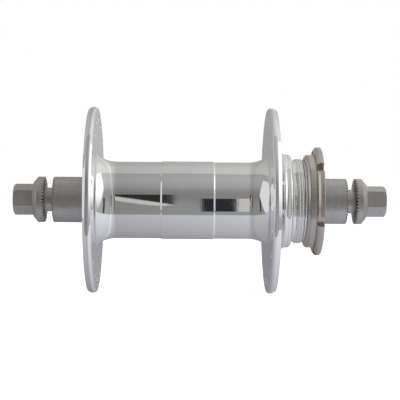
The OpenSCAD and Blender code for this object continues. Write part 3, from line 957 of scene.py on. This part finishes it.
def turned_marks():
    """The fine rings of a lathe or a polishing wheel, which change along the axle and little round it."""
    name = "Turned marks"
    if name in bpy.data.node_groups:
        return bpy.data.node_groups[name]
    tree, given, result = new_group(name, {"Spacing": 0.4 * MM, "Waver": 0.5}, ("Fine", "Broad"))
    x, y, z = axes_of(tree, "Object")
    squares = [maths(tree, "MULTIPLY", axis, axis) for axis in (x, z)]
    radius = maths(tree, "SQRT", maths(tree, "ADD", *squares))
    across, upright = (
        maths(tree, "MULTIPLY", maths(tree, "DIVIDE", axis, radius), given["Waver"])
        for axis in (x, z)
    )
    for title, widen in (("Fine", 1), ("Broad", BROAD_RING)):
        spacing = maths(tree, "MULTIPLY", given["Spacing"], widen)
        point = new_node(tree, "CombineXYZ")
        feed(point.inputs[0], maths(tree, "DIVIDE", radius, spacing))
        feed(point.inputs[1], maths(tree, "DIVIDE", y, spacing))
        feed(point.inputs[2], across)
        noise = new_node(tree, "TexNoise", {"Scale": 1, "Detail": 2}, noise_dimensions="4D")
        feed(noise.inputs["Vector"], point.outputs[0])
        feed(noise.inputs["W"], upright)
        feed(result[title], noise.outputs[0])
    return tree


def handling_marks():
    """Soft smudges, and small pits that are rarer the lower Pits is."""
    name = "Handling marks"
    if name in bpy.data.node_groups:
        return bpy.data.node_groups[name]
    inputs = {"Smudge Size": 8 * MM, "Pit Size": 0.3 * MM, "Pits": 0.1}
    tree, given, result = new_group(name, inputs, ("Smudge", "Pit"))
    place = new_node(tree, "TexCoord").outputs["Object"]
    least = maths(tree, "SUBTRACT", PIT_START, maths(tree, "MULTIPLY", given["Pits"], PIT_REACH))
    bands = {"Smudge": SMUDGE_BAND, "Pit": (least, maths(tree, "ADD", least, PIT_EDGE))}
    for title, detail in (("Smudge", 4), ("Pit", 1)):
        noise = new_node(tree, "TexNoise", {"Detail": detail})
        feed(noise.inputs["Vector"], place)
        feed(noise.inputs["Scale"], maths(tree, "DIVIDE", 1, given[f"{title} Size"]))
        feed(result[title], mapped(tree, noise.outputs[0], *bands[title]))
    return tree


def bump(tree, surface, height, depth):
    """Raises a surface by a height of up to one depth."""
    raised = new_node(tree, "Bump", {"Distance": depth, "Strength": 1})
    feed(raised.inputs["Height"], height)
    feed(surface.inputs["Normal"], raised.outputs[0])


def metal(tree, base, roughness, spacing, relief, tint, waver, smudge, pits):
    """Makes a material's surface a metal with turned marks, smudges and pits, whose colour is darkened with
    painted shade.
    """
    surface = tree.nodes["Principled BSDF"]
    surface.inputs["Metallic"].default_value = 1
    rings = {"Spacing": spacing * MM, "Waver": waver}
    marks = new_node(tree, "Group", rings, node_tree=turned_marks()).outputs
    hands = new_node(tree, "Group", {"Pits": pits}, node_tree=handling_marks()).outputs
    dark = [channel * (1 - tint) for channel in base]
    # The pits are real dents, cut by the bump below. Their darker colour is painted shade.
    pit_painted_shade = [channel * PIT_PAINTED_SHADE for channel in base]
    shaded = mixed(tree, mapped(tree, marks["Broad"], *RING_BAND), dark, base)
    feed(surface.inputs["Base Color"], mixed(tree, hands["Pit"], shaded, pit_painted_shade))
    rough = mapped(tree, hands["Smudge"], 0, 1, roughness, roughness + smudge)
    grain = RING_GRAIN * roughness
    rough = maths(tree, "ADD", rough, mapped(tree, marks["Fine"], *RING_BAND, -grain, grain))
    feed(surface.inputs["Roughness"], rough)
    bump(tree, surface, maths(tree, "SUBTRACT", marks["Fine"], hands["Pit"]), relief * MM)


def rubber(tree, base):
    """Makes a material's surface black rubber that is a little dusty."""
    surface = tree.nodes["Principled BSDF"]
    marks = {"Smudge Size": 3 * MM, "Pit Size": 0.15 * MM, "Pits": 0.5}
    hands = new_node(tree, "Group", marks, node_tree=handling_marks()).outputs
    dusty = [channel * DUST_GAIN + DUST_GREY for channel in base]
    feed(surface.inputs["Base Color"], mixed(tree, hands["Smudge"], base, dusty))
    feed(surface.inputs["Roughness"], mapped(tree, hands["Smudge"], 0, 1, *RUBBER_ROUGHNESS))
    bump(tree, surface, hands["Pit"], RUBBER_RELIEF)


# Noise between which rings and smudges run, how much wider broad rings are, and how much fine ones roughen.
RING_BAND = (0.3, 0.7)
SMUDGE_BAND = (0.35, 0.7)
BROAD_RING = 6
RING_GRAIN = 0.25
# Noise at which the rarest pits start, how much lower others start, the pits' edge, and the painted shade
# that darkens their colour.
PIT_START = 0.8
PIT_REACH = 0.5
PIT_EDGE = 0.06
PIT_PAINTED_SHADE = 0.3
# How much paler dust makes rubber, the roughness of clean and dusty rubber, and how far its pits stand out.
DUST_GAIN = 1.8
DUST_GREY = 0.01
RUBBER_ROUGHNESS = (0.45, 0.7)
RUBBER_RELIEF = 0.01 * MM

# Title of each finish. Of a metal also its roughness, the spacing and relief of its rings in mm, how much
# darker the dark rings are, how far they waver, how much rougher smudges are, and how many pits it has.
FINISHES = {
    "polished_aluminium": ("Polished aluminium", 0.02, 0.35, 0.0006, 0.02, 2, 0.02, 0),
    "lockring_steel": ("Lockring steel", 0.2, 0.22, 0.006, 0.16, 0.6, 0.08, 0.1),
    "stainless_steel": ("Satin stainless steel", 0.33, 0.18, 0.006, 0.1, 1.2, 0.08, 0.2),
    "race_steel": ("Ground race steel", 0.16, 0.1, 0.002, 0.06, 0.5, 0.05, 0),
    "ball_steel": ("Polished ball steel", 0.06, 1, 0.0002, 0.03, 0.5, 0.02, 0),
    "cage_brass": ("Pressed cage brass", 0.28, 0.3, 0.004, 0.15, 0.5, 0.12, 0.15),
    "seal_rubber": ("Moulded seal rubber",),
}


def material_of(finish):
    """The material of a finish, built when it is first asked for."""
    title, *marks = FINISHES[finish]
    if title in bpy.data.materials:
        return bpy.data.materials[title]
    material = bpy.data.materials.new(title)
    material.use_nodes = True
    base = tuple(getattr(bpy.context.scene.trackhub_finishes, finish))
    build = metal if marks else rubber
    build(material.node_tree, base, *marks)
    return material


# Colours of the floor and the room where shiny metal doesn't look, and the lamp's size and place in metres.
WHITE = (1, 1, 1)
FLOOR_GREY = (0.5, 0.5, 0.52)
FLOOR_GLOW = 0.75
ROOM_GREY = (0.85, 0.85, 0.86)
LAMP_SIZE = 1.2
LAMP_AT = (-0.35, 0, 1)

# What shiny metal sees of the room, by the angle from the camera over the top, in degrees.
ROOM_SHADES = (
    (-180, (0.30, 0.30, 0.32)), (-150, (0.34, 0.34, 0.36)), (-112, (0.43, 0.43, 0.46)),
    (-62, (0.54, 0.54, 0.58)), (-45, (0.56, 0.56, 0.60)), (-43.5, (0.30, 0.30, 0.305)),
    (-10, (0.29, 0.285, 0.28)), (6, (0.24, 0.235, 0.23)), (22, (0.235, 0.235, 0.235)),
    (32, (0.29, 0.29, 0.29)), (41, (0.355, 0.355, 0.35)), (61, (0.42, 0.42, 0.415)),
    (85.5, (0.40, 0.40, 0.395)), (87.5, (0.56, 0.56, 0.545)), (112, (0.565, 0.56, 0.54)),
    (135, (0.49, 0.485, 0.47)), (180, (0.42, 0.42, 0.41)),
)

# Brightness by the angle aside: (from, to, value there, value here). The rises and a window add to the fall.
SIDE_FALL = (-9, 4, 1.34, 0.86)
SIDE_RISES = ((-30, -9, 0.12, 0), (9, 13, 0, 0.1))
WINDOW = (-10.5, -7.2, 0.6)
WINDOW_GAIN = 0.35

# Colours of the cards that stand in the room. The right box is darker at its foot, up to an angle.
PAPER = (0.60, 0.585, 0.55)
WARM_BLACK = (0.03, 0.027, 0.026)
COOL_BLACK = (0.026, 0.025, 0.034)
BLACK_EDGE = (0.06, 0.058, 0.058)
LEFT_BOX = (0.80, 0.80, 0.81)
RIGHT_BOX = (1.25, 1.25, 1.24)
RIGHT_BOX_FOOT = (0.5, 0.5, 0.5)
RIGHT_BOX_FADE = (-42, 30)

# Slanted angles, each a share of the angle over the top and a share of the angle aside.
SLANTS = {"wedge": (1, -8), "low_right": (-0.25, 1), "low_left": (0.3, 1), "high_left": (-0.12, 1)}

# The cards from back to front: a colour, and bounds of (angle, low, high, softness) in degrees.
CARDS = (
    (PAPER, ("wedge", -29, -16.5, 3), ("up", -16, 14, 1), ("aside", 0.6, 4.5, 0.2)),
    (WARM_BLACK, ("wedge", -16.5, 60, 1), ("up", -14, 16.3, 0.7), ("aside", 0.5, 3.8, 0.15)),
    (PAPER, ("up", -33, 6, 1), ("aside", -3.6, -2.6, 0.06)),
    (COOL_BLACK, ("up", -33, 5.6, 1), ("aside", -2.65, -0.9, 0.08)),
    (WARM_BLACK, ("up", -20, 15, 2), ("aside", -9.8, -8.2, 0.3)),
    (WARM_BLACK, ("up", -20, 15, 2), ("aside", 6.2, 7.4, 0.3)),
    (WARM_BLACK, ("up", -40, 15, 2), ("aside", -7.1, -6.5, 0.1)),
    (PAPER, ("up", -42, 82, 2), ("aside", -6.4, -5.1, 0.1)),
    (BLACK_EDGE, ("up", -42, 6, 2), ("aside", -35, -29, 1.5)),
    (BLACK_EDGE, ("up", -34, 6, 3), ("aside", 29, 34, 1.5)),
    (RIGHT_BOX, ("up", -42, 90, 2), ("aside", -78, -32.5, 1), ("low_right", -200, -41, 2)),
    (LEFT_BOX, ("up", -42, 66, 2), ("high_left", 26.9, 90, 1), ("low_left", 34, 200, 1)),
)


def studio_light(tree, up, aside):
    """What shiny metal sees of the studio, as a colour socket.

    up is the angle from the camera over the top, and aside is the angle towards the left end, in degrees.
    """
    ramp = new_node(tree, "ValToRGB")
    feed(ramp.inputs[0], mapped(tree, up, -180, 180, smooth=False))
    elements = ramp.color_ramp.elements
    while len(elements) < len(ROOM_SHADES):
        elements.new(0.5)
    for element, (angle, shade) in zip(elements, ROOM_SHADES):
        element.position = (angle + 180) / 360
        element.color = (*shade, 1)
    side = mapped(tree, aside, *SIDE_FALL, smooth=False)
    for rise in SIDE_RISES:
        side = maths(tree, "ADD", side, mapped(tree, aside, *rise))
    window = maths(tree, "MULTIPLY", within(tree, [(aside, *WINDOW)]), WINDOW_GAIN)
    light = mixed(tree, 1.0, ramp.outputs[0], maths(tree, "ADD", side, window), blend="MULTIPLY")

    angles = {"up": up, "aside": aside}
    for name, shares in SLANTS.items():
        parts = [maths(tree, "MULTIPLY", angle, share) for angle, share in zip((up, aside), shares)]
        angles[name] = maths(tree, "ADD", *parts)
    for shade, *bounds in CARDS:
        if shade == RIGHT_BOX:
            shade = mixed(tree, mapped(tree, up, *RIGHT_BOX_FADE), RIGHT_BOX_FOOT, RIGHT_BOX)
        covered = within(tree, [(angles[name], *limits) for name, *limits in bounds])
        light = mixed(tree, covered, light, shade)
    return light


def within(tree, bounds):
    """A mask that is 1 inside every bound, each (angle, low, high, softness). Gives its output socket."""
    inside = 1.0
    for angle, low, high, soft in bounds:
        rise = mapped(tree, angle, low - soft, low + soft)
        fall = mapped(tree, angle, high - soft, high + soft, 1.0, 0.0)
        inside = maths(tree, "MULTIPLY", inside, maths(tree, "MULTIPLY", rise, fall))
    return inside


def seen_directly(tree):
    """1 for a ray from the camera or through glass, and 0 for any other. Gives its output socket."""
    path = new_node(tree, "LightPath")
    return maths(tree, "MAXIMUM", path.outputs["Is Camera Ray"], path.outputs["Is Transmission Ray"])


class TRACKHUB_OT_stage(Operator):
    """Set up the floor, the light and the camera"""

    bl_idname = "trackhub.stage"
    bl_label = "Studio"

    def execute(self, context):
        studio = context.scene.trackhub_studio
        self.floor(studio)
        self.world(context)
        self.lamp(studio)
        self.camera(studio)
        context.scene.view_settings.view_transform = "Standard"
        return {"FINISHED"}

    def floor(self, studio):
        """A pale floor under the hub, with a little glow where it is seen directly."""
        bm = bmesh.new()
        bmesh.ops.create_grid(bm, x_segments=2, y_segments=2, size=studio.floor_size / 2)
        bmesh.ops.translate(bm, vec=(0, 0, CAD_BOX[0].z), verts=bm.verts)
        floor = shown("floor", mesh_of(bm, "floor"))
        floor.visible_glossy = False
        material = bpy.data.materials.new("pale_floor")
        material.use_nodes = True
        tree = material.node_tree
        tree.nodes.remove(tree.nodes["Principled BSDF"])
        matt = new_node(tree, "BsdfDiffuse", {"Color": (*FLOOR_GREY, 1)})
        glow = new_node(tree, "Emission", {"Color": (*WHITE, 1)})
        feed(glow.inputs["Strength"], maths(tree, "MULTIPLY", seen_directly(tree), FLOOR_GLOW))
        both = new_node(tree, "AddShader")
        feed(both.inputs[0], matt.outputs[0])
        feed(both.inputs[1], glow.outputs[0])
        feed(tree.nodes["Material Output"].inputs["Surface"], both.outputs[0])
        floor.data.materials.append(material)

    def world(self, context):
        """White where it is seen directly, the cards for shiny metal, and plain grey for matt things."""
        world = bpy.data.worlds.new("studio")
        context.scene.world = world
        world.use_nodes = True
        world.cycles.sampling_method = "NONE"
        tree = world.node_tree
        x, y, z = axes_of(tree, "Generated")
        up = maths(tree, "DEGREES", maths(tree, "ARCTAN2", z, maths(tree, "MULTIPLY", x, -1)))
        aside = maths(tree, "DEGREES", maths(tree, "ARCSINE", y))
        path = new_node(tree, "LightPath")
        light = mixed(tree, path.outputs["Is Glossy Ray"], ROOM_GREY, studio_light(tree, up, aside))
        feed(tree.nodes["Background"].inputs["Color"], mixed(tree, seen_directly(tree), light, WHITE))

    def lamp(self, studio):
        light = bpy.data.lights.new("overhead", "AREA")
        light.size = LAMP_SIZE
        light.energy = studio.lamp_power
        lamp = shown("overhead", light)
        lamp.location = LAMP_AT
        lamp.rotation_euler = (-lamp.location).to_track_quat("-Z", "Y").to_euler()
        lamp.visible_glossy = False
        lamp.visible_camera = False

    def camera(self, studio):
        data = bpy.data.cameras.new("camera")
        data.sensor_fit = "HORIZONTAL"
        data.lens = studio.lens
        camera = shown("camera", data)
        camera.location = (-studio.camera_at, studio.camera_side, 0)
        level = (Vector((0, 0, studio.aim_up)) - camera.location).to_track_quat("-Z", "Y")
        camera.rotation_euler = (level @ Quaternion((0, 0, 1), studio.roll)).to_euler()
        bpy.context.scene.camera = camera


class TRACKHUB_PT_panel(Panel):
    """Lists the hub's pieces and its studio"""

    bl_label = "Track rear hub"
    bl_idname = "TRACKHUB_PT_panel"
    bl_space_type = "VIEW_3D"
    bl_region_type = "UI"
    bl_category = "Track hub"

    def draw(self, context):
        for operator in OPERATORS:
            self.layout.operator(operator.bl_idname)


OPERATORS = (
    TRACKHUB_OT_shell, TRACKHUB_OT_lockring, TRACKHUB_OT_end_caps, TRACKHUB_OT_washers, TRACKHUB_OT_bolts,
    TRACKHUB_OT_bearings, TRACKHUB_OT_axle, TRACKHUB_OT_stage,
)
SETTINGS = {
    "trackhub_shell": TrackHubShellSizes,
    "trackhub_threads": TrackHubThreadSizes,
    "trackhub_lockring": TrackHubLockringSizes,
    "trackhub_ends": TrackHubEndSizes,
    "trackhub_bearings": TrackHubBearingSizes,
    "trackhub_finishes": TrackHubFinishes,
    "trackhub_studio": TrackHubStudio,
}


def register():
    for cls in (*SETTINGS.values(), *OPERATORS, TRACKHUB_PT_panel):
        bpy.utils.register_class(cls)
    for name, settings in SETTINGS.items():
        setattr(bpy.types.Scene, name, PointerProperty(type=settings))


def unregister():
    for name in SETTINGS:
        delattr(bpy.types.Scene, name)
    for cls in (TRACKHUB_PT_panel, *reversed(OPERATORS), *reversed(SETTINGS.values())):
        bpy.utils.unregister_class(cls)


def main():
    register()
    bpy.ops.trackhub.shell()
    bpy.ops.trackhub.lockring()
    bpy.ops.trackhub.end_caps()
    bpy.ops.trackhub.washers()
    bpy.ops.trackhub.bolts()
    bpy.ops.trackhub.bearings()
    bpy.ops.trackhub.axle()
    bpy.ops.trackhub.stage()


if __name__ == "__main__":
    main()
